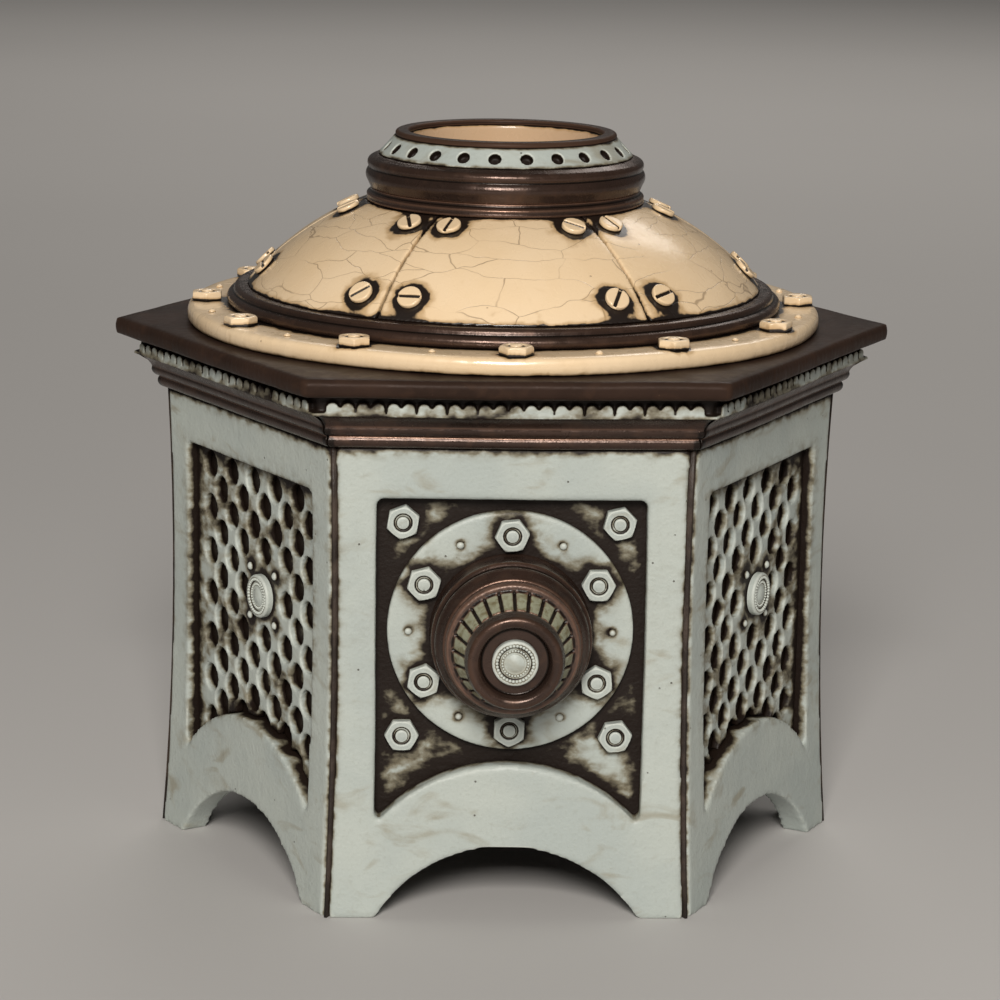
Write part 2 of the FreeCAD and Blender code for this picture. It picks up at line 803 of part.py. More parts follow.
def body_nodes():
    """Everything that stays still."""
    nodes = {}
    frame = wall_frame()
    for side, degrees in SIDES.items():
        nodes[f"wall_frame_{side}"] = [about_axis(frame, degrees)]
    nodes["corner_seams"] = six_sides(corner_seam())
    nodes["floor_plate"] = [floor_plate()]
    nodes["cornice_moulding"] = six_sides(cornice_length())
    nodes["dentil_strips"] = six_sides(dentil_length())
    nodes["deck_plate"] = [deck_plate()]

    screen = pierced_screen()
    button = moved(rosette(rosette_radius, rosette_height), z=recess_apothem + screen_thickness)
    nodes["screen_rosettes"] = [on_panel(button, side, screen_shift) for side in SCREEN_SIDES]
    nodes["screen_studs"] = [
        on_panel(one, side) for side in SCREEN_SIDES for one in screen_studs()
    ]
    for side in SCREEN_SIDES:
        nodes[f"pierced_screen_{side}"] = [about_axis(screen, SIDES[side])]

    nuts, bolts, rivets = panel_fasteners()
    nodes["panel_nuts"] = [on_panel(nut, side) for side in KNOB_SIDES for nut in nuts]
    nodes["panel_bolts"] = [on_panel(bolt, side) for side in KNOB_SIDES for bolt in bolts]
    nodes["flange_rivets"] = [on_panel(one, side) for side in KNOB_SIDES for one in rivets]
    plate = bored(flange_plate(), bolts + rivets)
    collar = knob_collar()
    for side in KNOB_SIDES:
        nodes[f"flange_plate_{side}"] = [on_panel(plate, side)]
        nodes[f"knob_collar_{side}"] = [on_panel(collar, side)]

    spindle_hole = disc(spindle_radius + spindle_wall_clearance, shell_inner_apothem / 2, wall_apothem)
    holes = [on_panel(spindle_hole, side) for side in KNOB_SIDES]
    nodes["inner_shell"] = [bored(inner_shell(), holes + nodes["panel_bolts"])]
    return nodes


def knob_nodes(side):
    """The pieces that turn with one knob."""
    button = moved(rosette(button_radius, button_height), z=button_seat)
    pieces = {
        "knob_skirt": [knob_skirt()],
        "knob_grip": [knob_grip()],
        "knob_button": [button],
        "knob_spindle": [knob_spindle()],
        "knob_retainer": knob_retainer(),
    }
    return {
        f"{name}_{side}": [on_panel(solid, side) for solid in solids]
        for name, solids in pieces.items()
    }


def lid_nodes():
    """The lid, which lifts off in one piece."""
    nodes = {}
    nut = hex_nut(lid_nut_height, lid_flange_top)
    bolt = stud(lid_flange_top - stud_depth, lid_flange_top + lid_nut_height + stud_tip)
    nut_at_front = moved(nut, y=-lid_nut_circle)
    bolt_at_front = moved(bolt, y=-lid_nut_circle)
    rivet_at_front = moved(rivet(lid_flange_top), y=-lid_nut_circle - 0.6)
    turn = 360 / lid_nut_count
    nodes["lid_nuts"] = [about_axis(nut_at_front, k * turn) for k in range(lid_nut_count)]
    nodes["lid_studs"] = [about_axis(bolt_at_front, k * turn) for k in range(lid_nut_count)]
    nodes["lid_rivets"] = [about_axis(rivet_at_front, (k + 0.5) * turn) for k in range(lid_nut_count)]
    nodes["lid_flange"] = [bored(lid_flange(), nodes["lid_studs"] + nodes["lid_rivets"])]
    nodes["lid_base_ring"] = [lid_base_ring()]
    nodes["locating_ring"] = [locating_ring()]

    screws = roof_screws()
    segment = roof_segment()
    for number, degrees in enumerate(SIDES.values(), start=1):
        nodes[f"roof_segment_{number}"] = [bored(about_axis(segment, degrees), screws)]
    nodes["roof_screws"] = screws
    liner = roof_layer(roof_thickness, roof_thickness + liner_thickness, False)
    nodes["roof_liner"] = [bored(liner, screws)]
    nodes["neck_ring"] = [neck_ring()]
    nodes["collar_bead"] = [collar_bead()]
    nodes["collar_band"] = [collar_band()]
    nodes["rim_ring"] = [rim_ring()]
    nodes["mouth_liner"] = [mouth_liner()]
    return nodes


def main():
    os.makedirs("parts", exist_ok=True)
    nodes = body_nodes()
    nodes.update(lid_nodes())
    for side in KNOB_SIDES:
        nodes.update(knob_nodes(side))
    for name, shapes in nodes.items():
        solids = [solid for shape in shapes for solid in solids_of(shape)]
        shape = solids[0] if len(solids) == 1 else Part.makeCompound(solids)
        shape.exportStep(f"parts/{name}.step")
    print(len(nodes), "nodes written")


main()
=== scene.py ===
import json
import math

import bmesh
import bpy
import numpy as np
from mathutils import Matrix, Vector
from mathutils.bvhtree import BVHTree

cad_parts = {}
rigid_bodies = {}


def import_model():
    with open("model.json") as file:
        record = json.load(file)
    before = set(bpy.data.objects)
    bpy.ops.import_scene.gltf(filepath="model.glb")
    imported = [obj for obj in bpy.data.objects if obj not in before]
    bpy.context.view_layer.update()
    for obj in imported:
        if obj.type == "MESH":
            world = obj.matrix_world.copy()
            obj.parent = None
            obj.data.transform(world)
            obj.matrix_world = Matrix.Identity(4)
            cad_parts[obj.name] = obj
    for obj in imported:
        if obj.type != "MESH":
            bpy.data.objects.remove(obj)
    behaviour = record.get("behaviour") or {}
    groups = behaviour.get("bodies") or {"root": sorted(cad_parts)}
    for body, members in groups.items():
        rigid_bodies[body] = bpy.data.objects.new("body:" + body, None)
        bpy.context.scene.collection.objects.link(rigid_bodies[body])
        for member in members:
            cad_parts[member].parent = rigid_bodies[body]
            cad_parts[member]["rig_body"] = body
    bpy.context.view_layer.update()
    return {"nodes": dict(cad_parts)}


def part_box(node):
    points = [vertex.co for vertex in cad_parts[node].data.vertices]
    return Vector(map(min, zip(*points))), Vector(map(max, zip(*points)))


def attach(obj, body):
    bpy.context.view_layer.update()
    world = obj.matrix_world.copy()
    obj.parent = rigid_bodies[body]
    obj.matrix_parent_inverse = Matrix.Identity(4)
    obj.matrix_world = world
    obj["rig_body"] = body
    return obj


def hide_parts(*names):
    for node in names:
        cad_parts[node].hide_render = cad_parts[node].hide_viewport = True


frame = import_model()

# Looks of a six-sided glazed stoneware vessel in the style of riveted ironwork. Every piece
# that shows is re-made from its CAD node with the soft edges and slight unevenness of hand-
# worked clay. Its glaze reads what is stored at each point of its mesh:
#   edge     how sharply the surface bends, above 0 on an outside edge, below 0 in a crease, where painted shade darkens the glaze
#   pool_and_shade  how near the point lies to other pieces: dark glaze pooled at joins, and painted shade
#   in corners and recesses
#   hollow_shade  1 behind the front of the teeth and inside the holes of the collar band: painted shade
#   there, with dark glaze behind the teeth
#   rib      1 on the outer faces of the knob's flutes
#   lay      how far round and how far down the roof the point lies, for the crackle

MM = 0.001                                  # metres in a millimetre
COARSER = 1.0        # coarser meshes while trying things
SIDES = {                                   # turn in degrees of each wall from the front one
    "front": 0,
    "front_right": 60,
    "back_right": 120,
    "back": 180,
    "back_left": 240,
    "front_left": 300,
}
KNOB_SIDES = ("front", "back")
SCREEN_SIDES = ("front_right", "back_right", "back_left", "front_left")
MITRE_SLOPE = math.tan(math.radians(30))    # half the turn from one wall to the next
panel_height = sum(corner.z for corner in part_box("knob_spindle_front")) / 2

# Unevenness of hand work, in mm
DRIFT_LENGTH = 130          # bends of the slow drift that all pieces share
RIPPLE_LENGTH = 17          # bends of the ripples along the surface
DRIFT_START = 25            # height over which the drift grows from nothing at the floor
WANDER = 0.35               # size of the drift
RIPPLE = 0.05               # size of the ripples

# Turned pieces, in mm
AT_POLE = 0.05              # a point this near to the axis is on it
NEAR_AXIS = 0.35            # an outline is cut off square inside this radius


# ---------------------------------------------------------------- measures and mesh helpers

def body_of(node):
    return frame["nodes"][node]["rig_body"]


def joined_mesh(nodes, extra=()):
    """One mesh of several CAD nodes and any extra meshes, welded."""
    work = bmesh.new()
    for node in nodes:
        work.from_mesh(frame["nodes"][node].data)
    for mesh in extra:
        work.from_mesh(mesh)
    bmesh.ops.remove_doubles(work, verts=work.verts, dist=1e-6)
    mesh = bpy.data.meshes.new("joined")
    work.to_mesh(mesh)
    work.free()
    return mesh


def softened(mesh, voxel, passes):
    """The mesh as evenly meshed clay, its edges rounded by smoothing."""
    holder = bpy.data.objects.new("holder", mesh)
    bpy.context.scene.collection.objects.link(holder)
    remesh = holder.modifiers.new("Remesh", "REMESH")
    remesh.mode = "VOXEL"
    remesh.voxel_size = voxel * MM * COARSER
    smooth = holder.modifiers.new("Smooth", "SMOOTH")
    smooth.factor = 0.5
    smooth.iterations = passes
    shown = holder.evaluated_get(bpy.context.evaluated_depsgraph_get())
    clay = bpy.data.meshes.new_from_object(shown)
    bpy.data.objects.remove(holder)
    return clay


def points_of(mesh):
    flat = np.empty(len(mesh.vertices) * 3, np.float32)
    mesh.vertices.foreach_get("co", flat)
    return flat.reshape(-1, 3).astype(float)


def normals_of(mesh):
    flat = np.empty(len(mesh.vertices) * 3, np.float32)
    mesh.vertex_normals.foreach_get("vector", flat)
    return flat.reshape(-1, 3).astype(float)


def waves(points, size, seed):
    """Smooth wandering values about 0 at the points, with bends about this size in mm."""
    count = 9
    chance = np.random.RandomState(seed)
    total = np.zeros(len(points))
    for _ in range(count):
        heading = chance.normal(size=3)
        heading *= chance.uniform(0.6, 1.5) / np.linalg.norm(heading)
        total += np.sin(points @ heading * (2 * math.pi / (size * MM)) + chance.uniform(0, 2 * math.pi))
    return total / (count / 2)


def made_by_hand(mesh, wander, ripple):
    """Moves the mesh by a slow drift that all pieces share, and by fine ripples along its normals."""
    points = points_of(mesh)
    moved = points.copy()
    above_floor = np.clip(points[:, 2] / (DRIFT_START * MM), 0, 1)
    for axis in range(3):
        moved[:, axis] += waves(points, DRIFT_LENGTH, 11 + axis) * wander * MM * above_floor
    moved += normals_of(mesh) * (waves(points, RIPPLE_LENGTH, 5) * ripple * MM)[:, None]
    mesh.vertices.foreach_set("co", moved.astype(np.float32).ravel())
    mesh.update()


def bend_of_surface(mesh, passes=2):
    """Curvature at each point in 1/mm, above 0 on an outside edge."""
    points, normals = points_of(mesh), normals_of(mesh)
    ends = np.empty(len(mesh.edges) * 2, np.int32)
    mesh.edges.foreach_get("vertices", ends)
    a, b = ends.reshape(-1, 2).T
    step = points[b] - points[a]
    square = np.maximum((step ** 2).sum(1), 1e-12)
    count = np.maximum(np.bincount(a, minlength=len(points)) + np.bincount(b, minlength=len(points)), 1)

    def gathered(at_a, at_b):
        return (np.bincount(a, at_a, len(points)) + np.bincount(b, at_b, len(points))) / count

    bend = gathered(-(step * normals[a]).sum(1) / square, (step * normals[b]).sum(1) / square)
    for _ in range(passes):
        bend = (bend + gathered(bend[b], bend[a])) / 2
    return bend * MM


# Darkening near the pieces that each point meets: dark glaze pooled at the joins, and painted shade in the
# corners, recesses and holes.
def pool_and_shade_near(points, rules):
    """Sum over the rules (nodes, strength, width in mm) of strength x exp(-distance / width).
    A rule may hold a mesh in place of node names."""
    total = np.zeros(len(points))
    for neighbours, strength, width in rules:
        mesh = joined_mesh(neighbours) if isinstance(neighbours, list) else neighbours.copy()
        tree = BVHTree.FromPolygons([v.co for v in mesh.vertices], [p.vertices for p in mesh.polygons])
        reach = 4 * width * MM
        for i, point in enumerate(points):
            found = tree.find_nearest(point, reach)
            if found[0] is not None:
                total[i] += strength * math.exp(-found[3] / (width * MM))
        bpy.data.meshes.remove(mesh)
    return total


def depth_below_outline(mesh, axes=Matrix.Identity(4)):
    """How far in mm each point lies inside the widest part of the mesh at its height, and
    its height as a share of the mesh's own."""
    slice_height = 0.6
    back = np.array(axes.inverted())
    places = points_of(mesh) @ back[:3, :3].T + back[:3, 3]
    radius = np.hypot(places[:, 0], places[:, 1]) / MM
    level = places[:, 2] / MM
    tall = level.max() - level.min()
    share = (level - level.min()) / tall
    height_slice = (share * round(tall / slice_height)).astype(int)
    widest = np.zeros(height_slice.max() + 1)
    np.maximum.at(widest, height_slice, radius)
    return widest[height_slice] - radius, share


def store(mesh, name, values):
    mesh.attributes.new(name, "FLOAT", "POINT").data.foreach_set("value", values.astype(np.float32))


def piece(name, mesh, nodes, material, pool_and_shade=()):
    """A finished object that stands for CAD nodes and rides on their body."""
    store(mesh, "edge", bend_of_surface(mesh))
    # The glazes darken by this value: pooled dark glaze and painted shade near other pieces.
    store(mesh, "pool_and_shade", pool_and_shade_near(points_of(mesh), pool_and_shade))
    mesh.polygons.foreach_set("use_smooth", np.ones(len(mesh.polygons), bool))
    mesh.materials.clear()
    mesh.materials.append(material)
    made = bpy.data.objects.new(name, mesh)
    mesh.name = name
    bpy.context.scene.collection.objects.link(made)
    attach(made, body_of(nodes[0]))
    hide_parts(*nodes)
    return made


def clay(name, nodes, voxel, passes, material, pool_and_shade=(), wander=WANDER, ripple=RIPPLE):
    """A piece re-made as soft clay from its CAD nodes."""
    mesh = softened(joined_mesh(nodes), voxel, passes)
    made_by_hand(mesh, wander, ripple)
    return piece(name, mesh, nodes, material, pool_and_shade)


# ---------------------------------------------------------------- outlines and sweeps

def panel_axes(side):
    """Matrix from a panel's axes (across, up, outward) to the object's frame."""
    turn = Matrix.Rotation(math.radians(SIDES[side]), 4, "Z")
    stand = Matrix(((1, 0, 0, 0), (0, 0, -1, 0), (0, 1, 0, panel_height), (0, 0, 0, 1)))
    return turn @ stand


def section(node, axes, chosen, flatten):
    """Ordered outline of a node through the welded points that are chosen, in axes' frame.
    One that ends at flat faces across the axis is continued to the axis at both ends."""
    work = bmesh.new()
    work.from_mesh(frame["nodes"][node].data)
    bmesh.ops.transform(work, matrix=axes.inverted(), verts=work.verts)
    bmesh.ops.remove_doubles(work, verts=work.verts, dist=2e-6)
    inside = {v for v in work.verts if chosen(v.co)}

    def on_outline(edge):
        within_cap = all(all(v in inside for v in face.verts) for face in edge.link_faces)
        return edge.verts[0] in inside and edge.verts[1] in inside and not within_cap

    def neighbours(vert):
        return [e.other_vert(vert) for e in vert.link_edges if on_outline(e)]

    path = [min(inside, key=lambda v: (round(v.co.z, 6), v.co.x ** 2 + v.co.y ** 2))]
    seen = {path[0]}
    for _ in range(2):
        while True:
            step = next((v for v in neighbours(path[-1]) if v not in seen), None)
            if step is None:
                break
            path.append(step)
            seen.add(step)
        path.reverse()
    outline = np.array([flatten(v.co) for v in path])
    if path[0] not in neighbours(path[-1]):
        outline = np.vstack([[0, outline[0, 1]], outline, [0, outline[-1, 1]]])
    work.free()
    return outline


def evenly(outline, step, passes):
    """The closed outline with points a step apart in mm, its corners eased by the passes."""
    closed = np.vstack([outline, outline[:1]])
    run = np.r_[0, np.cumsum(np.hypot(*np.diff(closed, axis=0).T))]
    marks = np.linspace(0, run[-1], max(8, round(run[-1] / (step * MM * COARSER))), endpoint=False)
    even = np.c_[np.interp(marks, run, closed[:, 0]), np.interp(marks, run, closed[:, 1])]
    for _ in range(passes):
        even = (np.roll(even, 1, 0) + 2 * even + np.roll(even, -1, 0)) / 4
    return even


def drawn_in(outline, depth):
    """The outline moved inwards by a depth."""
    along = np.roll(outline, -1, 0) - np.roll(outline, 1, 0)
    out = np.c_[along[:, 1], -along[:, 0]]
    out /= np.maximum(np.linalg.norm(out, axis=1), 1e-9)[:, None]
    x, y = outline.T
    turning = np.sign((x * np.roll(y, -1) - np.roll(x, -1) * y).sum())
    return outline - out * turning * depth


def swept_mesh(rings, closed, span=None):
    """Mesh through rings of equal length. An open sweep gets a flat cap at each end. A span
    of one less than the ring leaves out the face from its last point to its first."""
    count = len(rings[0])
    points = np.concatenate(rings)
    faces = []
    last = len(rings) if closed else len(rings) - 1
    for i in range(last):
        a, b = i * count, (i + 1) % len(rings) * count
        for j in range(span or count):
            faces.append((a + j, a + (j + 1) % count, b + (j + 1) % count, b + j))
    if not closed:
        faces.append(tuple(range(count - 1, -1, -1)))
        faces.append(tuple(range(len(points) - count, len(points))))
    work = bmesh.new()
    verts = [work.verts.new(p) for p in points]
    for face in faces:
        work.faces.new([verts[i] for i in face])
    bmesh.ops.remove_doubles(work, verts=work.verts, dist=1e-6)
    bmesh.ops.recalc_face_normals(work, faces=work.faces)
    mesh = bpy.data.meshes.new("swept")
    work.to_mesh(mesh)
    work.free()
    return mesh


def between_poles(outline, on_axis):
    """The part of a closed outline that is off the axis, brought level to the axis at both ends."""
    first = np.flatnonzero(on_axis & ~np.roll(on_axis, -1))[0] + 1
    off_axis = np.roll(outline, -first, 0)[:np.count_nonzero(~on_axis)]
    return np.vstack([[0, off_axis[0, 1]], off_axis, [0, off_axis[-1, 1]]])


def turned_mesh(node, axes=Matrix.Identity(4), step=0.45, passes=3, columns=288, reach=1.0):
    """A turned node, from its own section within reach of the axis, with eased corners."""
    def on_seam(co):
        at_pole = math.hypot(co.x, co.y) < AT_POLE * MM
        return co.z > 0 and (at_pole or abs(co.y) < 4e-6 and -1e-6 < co.x < reach)

    outline = evenly(section(node, axes, on_seam, lambda co: (co.x, co.z)), step, passes)
    on_axis = outline[:, 0] < NEAR_AXIS * MM
    if on_axis.any():
        outline = between_poles(outline, on_axis)
    rings = []
    columns = round(columns / COARSER)
    for k in range(columns):
        angle = 2 * math.pi * k / columns
        ring = np.c_[outline[:, 0] * math.cos(angle), outline[:, 0] * math.sin(angle), outline[:, 1]]
        rings.append(ring)
    mesh = swept_mesh(rings, closed=True, span=len(outline) - on_axis.any())
    mesh.transform(axes)
    return mesh


def end_marks(half_length, rounding, step):
    """Places from one end of a bar to the other, close together where its ends are rounded."""
    near = [0, 0.08, 0.2, 0.4, 0.65, 1]
    start = [-half_length + rounding * n for n in near]
    middle = np.arange(-half_length + rounding + step, half_length - rounding - step / 2, step)
    return start + list(middle) + [-s for s in reversed(start)]


def mitred_mesh(node, side, gap, step, passes, rounding=0.7, spacing=2.5):
    """One side's length of a moulding, between its two mitres."""
    axes = Matrix.Rotation(math.radians(SIDES[side]), 4, "Z")

    def on_mitre(co):
        return co.y < 0 and abs(co.x - (-co.y - gap * MM) * MITRE_SLOPE) < 5e-6

    outline = evenly(section(node, axes, on_mitre, lambda co: (-co.y, co.z)), step, passes)
    half_length = outline[:, 0].mean() * MITRE_SLOPE / MM
    rings = []
    for mark in end_marks(half_length, rounding, spacing * COARSER):
        from_end = min(half_length - abs(mark), rounding)
        depth = rounding - math.sqrt(rounding ** 2 - (rounding - from_end) ** 2)
        ring = drawn_in(outline, depth * MM)
        across = (ring[:, 0] - gap * MM) * MITRE_SLOPE * mark / half_length
        rings.append(np.c_[across, -ring[:, 0], ring[:, 1]])
    mesh = swept_mesh(rings, closed=False)
    mesh.transform(axes)
    return mesh


def merged(meshes):
    return joined_mesh([], meshes)


# ---------------------------------------------------------------- glaze nodes

class Graph:
    """A material's node tree, with short calls for the nodes that the glazes share."""

    def __init__(self, name, slot=""):
        self.material = bpy.data.materials.new(name)
        self.material["slot"] = slot
        self.material.use_nodes = True
        self.nodes = self.material.node_tree.nodes
        self.links = self.material.node_tree.links
        self.shader = next(n for n in self.nodes if n.type == "BSDF_PRINCIPLED")
        self.place = self.nodes.new("ShaderNodeTexCoord").outputs["Object"]

    def put(self, socket, value):
        if isinstance(value, bpy.types.NodeSocket):
            self.links.new(value, socket)
        else:
            socket.default_value = value

    def maths(self, operation, a, b=0.0):
        node = self.nodes.new("ShaderNodeMath")
        node.operation = operation
        self.put(node.inputs[0], a)
        self.put(node.inputs[1], b)
        return node.outputs[0]

    def add(self, *values):
        total = values[0]
        for value in values[1:]:
            total = self.maths("ADD", total, value)
        return total

    def times(self, a, b):
        return self.maths("MULTIPLY", a, b)

    def step(self, value, low, high, start=0.0, end=1.0):
        """Smooth step of a value, from start at low to end at high."""
        node = self.nodes.new("ShaderNodeMapRange")
        node.interpolation_type = "SMOOTHSTEP"
        for socket, given in zip(node.inputs[:5], (value, low, high, start, end)):
            self.put(socket, given)
        return node.outputs[0]

    def stored(self, name, output="Fac"):
        node = self.nodes.new("ShaderNodeAttribute")
        node.attribute_name = name
        return node.outputs[output]

    def scaled_place(self, size, stretch, place=None):
        node = self.nodes.new("ShaderNodeMapping")
        self.put(node.inputs["Vector"], place or self.place)
        node.inputs["Scale"].default_value = [1 / (size * MM * s) for s in stretch]
        return node.outputs[0]

    def noise(self, size, detail=3.0, stretch=(1, 1, 1), place=None, wobble=0.0):
        """Noise from 0 to 1 whose blotches are about this size in mm."""
        node = self.nodes.new("ShaderNodeTexNoise")
        node.inputs["Scale"].default_value = 1.0
        node.inputs["Detail"].default_value = detail
        node.inputs["Distortion"].default_value = wobble
        self.put(node.inputs["Vector"], self.scaled_place(size, stretch, place))
        return node.outputs["Fac"]

    def specks(self, size, share):
        """Round specks in this share of the cells of this size in mm: 1 in a speck, 0 between."""
        width = 0.12
        node = self.nodes.new("ShaderNodeTexVoronoi")
        node.inputs["Scale"].default_value = 1.0
        self.put(node.inputs["Vector"], self.scaled_place(size, (1, 1, 1)))
        chance = self.nodes.new("ShaderNodeSeparateColor")
        self.put(chance.inputs[0], node.outputs["Color"])
        kept = self.step(chance.outputs[0], 1 - share, 1 - share + 0.02)
        return self.times(kept, self.step(node.outputs["Distance"], width, width * 0.5))

    def mix(self, share, a, b):
        node = self.nodes.new("ShaderNodeMix")
        node.data_type = "RGBA"
        self.put(node.inputs[0], share)
        for socket, colour in ((node.inputs[6], a), (node.inputs[7], b)):
            self.put(socket, colour if isinstance(colour, bpy.types.NodeSocket) else (*colour, 1))
        return node.outputs[2]

    def finish(self, colour, roughness, height, depth):
        """Joins the colour, roughness and a bump of this depth in mm to the shader."""
        bump = self.nodes.new("ShaderNodeBump")
        bump.inputs["Strength"].default_value = 1.0
        bump.inputs["Distance"].default_value = depth * MM
        self.put(bump.inputs["Height"], height)
        self.put(self.shader.inputs["Base Color"], colour)
        self.put(self.shader.inputs["Roughness"], roughness)
        self.put(self.shader.inputs["Normal"], bump.outputs[0])
        return self.material


# Colours, as linear red, green and blue

# Shared by several glazes
BLACK_BROWN = (0.013, 0.0075, 0.005)
OLIVE = (0.17, 0.135, 0.07)

# Pale blue-grey glaze
PALE_BLUE = (0.50, 0.545, 0.505)
DEEPER_BLUE = (0.44, 0.49, 0.465)
BLUE_SMEAR = (0.30, 0.27, 0.19)
BLUE_GRAIN = (0.36, 0.38, 0.33)
WORN_BLUE = (0.62, 0.66, 0.61)
DARK_PIT = (0.06, 0.045, 0.03)

# Bronze glaze
BRONZE_BROWN = (0.068, 0.040, 0.030)
DEEP_BRONZE = (0.042, 0.026, 0.020)
WARM_BRONZE = (0.105, 0.058, 0.038)
COPPER_RIDGE = (0.23, 0.125, 0.080)
COPPER_SPECK = (0.24, 0.15, 0.10)

# Cream glaze
PALE_CREAM = (0.93, 0.72, 0.475)
DEEPER_CREAM = (0.88, 0.66, 0.41)
CREAM_CLOUD = (0.66, 0.46, 0.24)
BROWN_PIT = (0.22, 0.13, 0.07)
CRACK_BROWN = (0.27, 0.18, 0.10)
SHADED_CREAM = (0.45, 0.26, 0.15)
AMBER_STAIN_AND_SHADE = (0.42, 0.25, 0.09)

# Dark glaze
DARK_BROWN = (0.022, 0.014, 0.010)
RUST_BROWN = (0.062, 0.042, 0.03)

# Fluted skirt
FLUTE_BRONZE = (0.075, 0.045, 0.034)
WARM_FLUTE = (0.13, 0.072, 0.05)
COPPER_FLUTE = (0.27, 0.155, 0.105)
PALE_RIB = (0.40, 0.41, 0.29)
STAINED_RIB = (0.22, 0.19, 0.10)

# Studio floor
FLOOR_GREY = (0.54, 0.53, 0.52)
FLOOR_PALER = (0.58, 0.57, 0.56)


def blue_glaze(name="glaze_blue", stain=0.0, worn=0.7):
    """Pale blue-grey satin glaze over dark clay: smudged, a little pitted, pale at its edges."""
    g = Graph(name, "blue_glaze")
    edge, pool_and_shade, hollow_shade = g.stored("edge"), g.stored("pool_and_shade"), g.stored("hollow_shade")
    broad, cloud, fine = g.noise(46, 3), g.noise(11, 6, wobble=0.4), g.noise(1.6, 5)
    brush = g.noise(4.5, 8, (1.5, 1.5, 1), wobble=0.2)
    smear = g.noise(16, 7, (1.8, 1.8, 0.8), wobble=1.0)
    pits = g.specks(4.5, 0.10)
    colour = g.mix(g.step(broad, 0.35, 0.68), PALE_BLUE, DEEPER_BLUE)
    colour = g.mix(g.times(g.step(smear, 0.55, 0.76), 0.7), colour, BLUE_SMEAR)
    colour = g.mix(g.times(g.step(fine, 0.52, 0.75), 0.25), colour, BLUE_GRAIN)
    colour = g.mix(g.times(g.step(edge, 0.07, 0.26), worn), colour, WORN_BLUE)
    colour = g.mix(g.times(pits, 0.8), colour, DARK_PIT)
    washed = g.step(g.noise(24, 4), 0.40, 0.66, 0, stain)
    # Where the glaze darkens: dark glaze pooled at joins, painted shade in corners, creases and holes, and
    # a broad stain.
    pooled_and_shaded = g.add(pool_and_shade, hollow_shade, g.step(edge, -0.06, -0.25, 0, 0.55), washed)
    dark = g.add(pooled_and_shaded, g.times(g.add(brush, -0.5), g.step(pooled_and_shaded, 0.03, 0.30)))
    colour = g.mix(g.times(g.step(dark, 0.08, 0.40), 0.85), colour, OLIVE)
    core = g.step(dark, 0.28, 0.60)
    colour = g.mix(core, colour, BLACK_BROWN)
    roughness = g.add(g.step(cloud, 0.3, 0.8, 0.42, 0.56), g.times(core, 0.05))
    height = g.add(g.times(fine, 0.8), g.times(g.noise(5, 4), 0.9), g.times(pits, -0.9))
    g.put(g.shader.inputs["Specular IOR Level"], g.step(core, 0, 1, 0.45, 0.25))
    return g.finish(colour, roughness, height, 0.30)


def bronze_glaze(name="glaze_bronze", metallic=0.55, sheen=0.5, rough=0.0, shade=1.0):
    """Dark metallic brown glaze that breaks to copper along ridges."""
    g = Graph(name, "bronze_glaze")
    edge, pool_and_shade = g.stored("edge"), g.stored("pool_and_shade")
    broad, cloud, fine = g.noise(34, 4), g.noise(7, 6, wobble=0.5), g.noise(0.9, 4)
    specks = g.specks(2.6, 0.14)
    colour = g.mix(g.step(broad, 0.32, 0.7), BRONZE_BROWN, DEEP_BRONZE)
    colour = g.mix(g.times(g.step(cloud, 0.5, 0.75), 0.5), colour, WARM_BRONZE)
    colour = g.mix(g.times(g.step(edge, 0.05, 0.26), 0.6), colour, COPPER_RIDGE)
    colour = g.mix(g.times(specks, 0.5), colour, COPPER_SPECK)
    # Darker where dark glaze pools, with painted shade in corners and creases, and at random.
    dark = g.add(pool_and_shade, g.step(edge, -0.03, -0.2, 0, 0.8), g.times(g.add(cloud, -0.5), 0.6))
    colour = g.mix(g.step(dark, 0.25, 0.75), colour, BLACK_BROWN)
    colour = g.mix(1 - shade, colour, BLACK_BROWN)
    roughness = g.add(g.step(cloud, 0.3, 0.75, 0.22 + rough, 0.36 + rough), g.times(specks, 0.15))
    height = g.add(g.times(fine, 0.35), g.times(g.noise(6, 3), 0.8), g.times(specks, 0.3))
    g.shader.inputs["Metallic"].default_value = metallic
    g.shader.inputs["Specular IOR Level"].default_value = sheen
    return g.finish(colour, roughness, height, 0.20)


def crackle(g):
    """Fine wandering crackle lines, longer across the roof than down it."""
    lay = g.stored("lay", "Vector")
    bent = g.nodes.new("ShaderNodeVectorMath")
    bent.operation = "ADD"
    wobble = g.nodes.new("ShaderNodeTexNoise")
    wobble.inputs["Scale"].default_value = 1 / (16 * MM)
    wobble.inputs["Detail"].default_value = 2.0
    g.put(wobble.inputs["Vector"], lay)
    shift = g.nodes.new("ShaderNodeVectorMath")
    shift.operation = "SCALE"
    shift.inputs["Scale"].default_value = 9 * MM
    g.put(shift.inputs[0], wobble.outputs["Color"])
    g.put(bent.inputs[0], lay)
    g.put(bent.inputs[1], shift.outputs[0])
    cells = g.nodes.new("ShaderNodeTexVoronoi")
    cells.feature = "DISTANCE_TO_EDGE"
    cells.inputs["Scale"].default_value = 1.0
    cells.inputs["Randomness"].default_value = 0.95
    g.put(cells.inputs["Vector"], g.scaled_place(1, (34, 13, 34), bent.outputs[0]))
    line = g.step(cells.outputs["Distance"], 0.003, 0.012, 1, 0)
    return g.times(line, g.step(g.noise(30, 2, place=lay), 0.32, 0.50))


